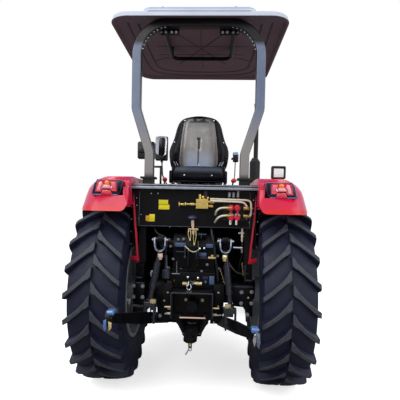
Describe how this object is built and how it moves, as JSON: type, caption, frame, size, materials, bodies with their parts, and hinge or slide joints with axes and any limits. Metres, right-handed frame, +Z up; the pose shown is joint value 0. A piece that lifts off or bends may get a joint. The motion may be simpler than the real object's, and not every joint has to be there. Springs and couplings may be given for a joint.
{
  "type": "farm tractor",
  "caption": "Four-wheel-drive farm tractor with a roll-over frame, sun canopy, opening hood, steered front axle and rear three-point hitch.",
  "frame": {"origin": "centre of the plan, on the ground", "axes": "+Y forward, +X to the right of someone in the seat, +Z up"},
  "size_m": [1.6908, 4, 2.8649],
  "materials": {
    "tyre": "moulded rubber, matt",
    "rim_silver": "silver enamel",
    "chassis_black": "semi-gloss chassis enamel over castings",
    "red_paint": "gloss enamel",
    "black_plastic": "moulded, satin",
    "lamp_lens": "clear ribbed lens",
    "lamp_red": "moulded lens",
    "deck_black": "satin enamel on sheet",
    "seat_vinyl": "embossed vinyl, satin",
    "rops_grey": "satin powder coat",
    "canopy_plastic": "vacuum-formed sheet, satin",
    "exhaust_black": "heat-resistant enamel",
    "zinc_steel": "zinc plated and painted steel",
    "cap_red": "moulded caps",
    "yellow_zinc": "yellow chromate over zinc"
  },
  "bodies": {
    "chassis": {"canopy_frame": "rops_grey", "canopy_roof": "canopy_plastic", "control_levers": "black_plastic", "coupler_caps": "cap_red", "dashboard": "black_plastic", "drawbar": "chassis_black", "engine_block": "chassis_black", "exhaust": "exhaust_black", "fender_braces": "red_paint", "fender_left": "red_paint", "fender_right": "red_paint", "front_axle": "chassis_black", "front_bolster": "chassis_black", "front_weights": "chassis_black", "fuel_tank": "black_plastic", "hydraulic_lift_housing": "chassis_black", "hydraulic_pipes": "zinc_steel", "mirrors": "black_plastic", "pedals": "deck_black", "platform": "deck_black", "pto_shield": "black_plastic", "radiator": "chassis_black", "rear_axle_housing": "chassis_black", "rear_deck": "deck_black", "remote_couplers": "zinc_steel", "rops_frame": "rops_grey", "seat_back": "seat_vinyl", "seat_base": "deck_black", "seat_cushion": "seat_vinyl", "seat_shell": "black_plastic", "tail_lights": "lamp_red", "toplink_bracket": "chassis_black", "transmission": "chassis_black", "valve_block": "yellow_zinc", "work_light": "lamp_lens"},
    "rear_wheel_left": {"rear_tyre_left": "tyre", "rear_rim_left": "rim_silver"},
    "rear_wheel_right": {"rear_tyre_right": "tyre", "rear_rim_right": "rim_silver"},
    "front_wheel_left": {"front_tyre_left": "tyre", "front_rim_left": "rim_silver"},
    "front_wheel_right": {"front_tyre_right": "tyre", "front_rim_right": "rim_silver"},
    "steering_knuckle_left": {"knuckle_left": "chassis_black"},
    "steering_knuckle_right": {"knuckle_right": "chassis_black"},
    "track_rod": {"tie_rod": "chassis_black"},
    "hood": {"hood_shell": "red_paint", "grille": "black_plastic", "headlights": "lamp_lens"},
    "hand_wheel": {"steering_wheel": "black_plastic"},
    "rockshaft": {"lift_arms": "chassis_black"},
    "lift_rod_left": {"lift_rod_left": "zinc_steel"},
    "lift_rod_right": {"lift_rod_right": "zinc_steel"},
    "lower_link_left": {"lower_link_left": "chassis_black"},
    "lower_link_right": {"lower_link_right": "chassis_black"}
  },
  "joints": [
    {"name": "rear_wheel_left_spin", "type": "hinge", "parent": "chassis", "child": "rear_wheel_left", "pos_m": [-0.655, -0.95, 0.715], "axis": [1, 0, 0], "continuous": true},
    {"name": "rear_wheel_right_spin", "type": "hinge", "parent": "chassis", "child": "rear_wheel_right", "pos_m": [0.655, -0.95, 0.715], "axis": [1, 0, 0], "continuous": true},
    {"name": "steer_left", "type": "hinge", "parent": "chassis", "child": "steering_knuckle_left", "pos_m": [-0.52, 1.1, 0.525], "axis": [0, 0, 1], "range_deg": [-40, 40]},
    {"name": "steer_right", "type": "hinge", "parent": "chassis", "child": "steering_knuckle_right", "pos_m": [0.52, 1.1, 0.525], "axis": [0, 0, 1], "range_deg": [-40, 40]},
    {"name": "track_rod_pivot", "type": "hinge", "parent": "steering_knuckle_left", "child": "track_rod", "pos_m": [-0.52, 1.335, 0.561], "axis": [0, 0, 1], "range_deg": [-40, 40]},
    {"name": "front_wheel_left_spin", "type": "hinge", "parent": "steering_knuckle_left", "child": "front_wheel_left", "pos_m": [-0.68, 1.1, 0.525], "axis": [1, 0, 0], "continuous": true},
    {"name": "front_wheel_right_spin", "type": "hinge", "parent": "steering_knuckle_right", "child": "front_wheel_right", "pos_m": [0.68, 1.1, 0.525], "axis": [1, 0, 0], "continuous": true},
    {"name": "hood_hinge", "type": "hinge", "parent": "chassis", "child": "hood", "pos_m": [0, 0.352, 1.448], "axis": [1, 0, 0], "range_deg": [0, 50]},
    {"name": "steering_wheel_turn", "type": "hinge", "parent": "chassis", "child": "hand_wheel", "pos_m": [0, -0.07226, 1.6861], "axis": [0, -0.6428, 0.766], "continuous": true},
    {"name": "rockshaft_turn", "type": "hinge", "parent": "chassis", "child": "rockshaft", "pos_m": [0, -1.19, 1.1], "axis": [-1, 0, 0], "range_deg": [-40, 18]},
    {"name": "lower_link_left_lift", "type": "hinge", "parent": "chassis", "child": "lower_link_left", "pos_m": [-0.175, -1.07, 0.5], "axis": [-1, 0, 0], "range_deg": [-30, 14]},
    {"name": "lower_link_right_lift", "type": "hinge", "parent": "chassis", "child": "lower_link_right", "pos_m": [0.175, -1.07, 0.5], "axis": [-1, 0, 0], "range_deg": [-30, 14]},
    {"name": "lift_rod_left_pivot", "type": "hinge", "parent": "rockshaft", "child": "lift_rod_left", "pos_m": [-0.225, -1.45, 1.155], "axis": [-1, 0, 0], "range_deg": [-20, 44]},
    {"name": "lift_rod_right_pivot", "type": "hinge", "parent": "rockshaft", "child": "lift_rod_right", "pos_m": [0.225, -1.45, 1.155], "axis": [-1, 0, 0], "range_deg": [-20, 44]}
  ],
  "couplings": [
    {"joint": "steer_right", "follows": "steer_left", "ratio": 1},
    {"joint": "track_rod_pivot", "follows": "steer_left", "ratio": -1},
    {"joint": "lower_link_left_lift", "follows": "rockshaft_turn", "ratio": 0.705},
    {"joint": "lower_link_right_lift", "follows": "rockshaft_turn", "ratio": 0.72},
    {"joint": "lift_rod_left_pivot", "follows": "rockshaft_turn", "ratio": -1.06},
    {"joint": "lift_rod_right_pivot", "follows": "rockshaft_turn", "ratio": -1.015}
  ]
}
